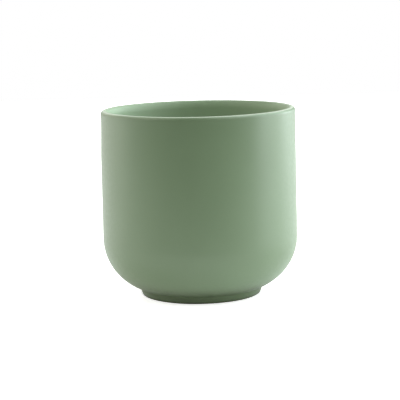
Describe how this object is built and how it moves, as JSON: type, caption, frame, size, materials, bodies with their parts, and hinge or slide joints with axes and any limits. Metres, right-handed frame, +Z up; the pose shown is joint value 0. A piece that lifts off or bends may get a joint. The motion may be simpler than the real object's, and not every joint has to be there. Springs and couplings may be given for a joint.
{
  "type": "brush pot",
  "caption": "Round stoneware brush pot with straight walls, a deep rounded bowl and a short splayed foot, in satin sage-green glaze, on small round pads.",
  "frame": {"origin": "centre of the standing plane, under the desk pads", "axes": "+Z up the pot's axis, out of the mouth"},
  "size_m": [0.1208, 0.1208, 0.1153],
  "materials": {
    "sage_glaze": "satin-matt glaze",
    "bare_stoneware": "unglazed, fine grained",
    "pad_rubber": "matt moulded rubber"
  },
  "bodies": {
    "root": {"clay_body": "bare_stoneware", "foot_ring": "bare_stoneware", "outer_glaze": "sage_glaze", "inner_glaze": "sage_glaze", "recess_glaze": "sage_glaze", "desk_pads": "pad_rubber"}
  },
  "joints": []
}
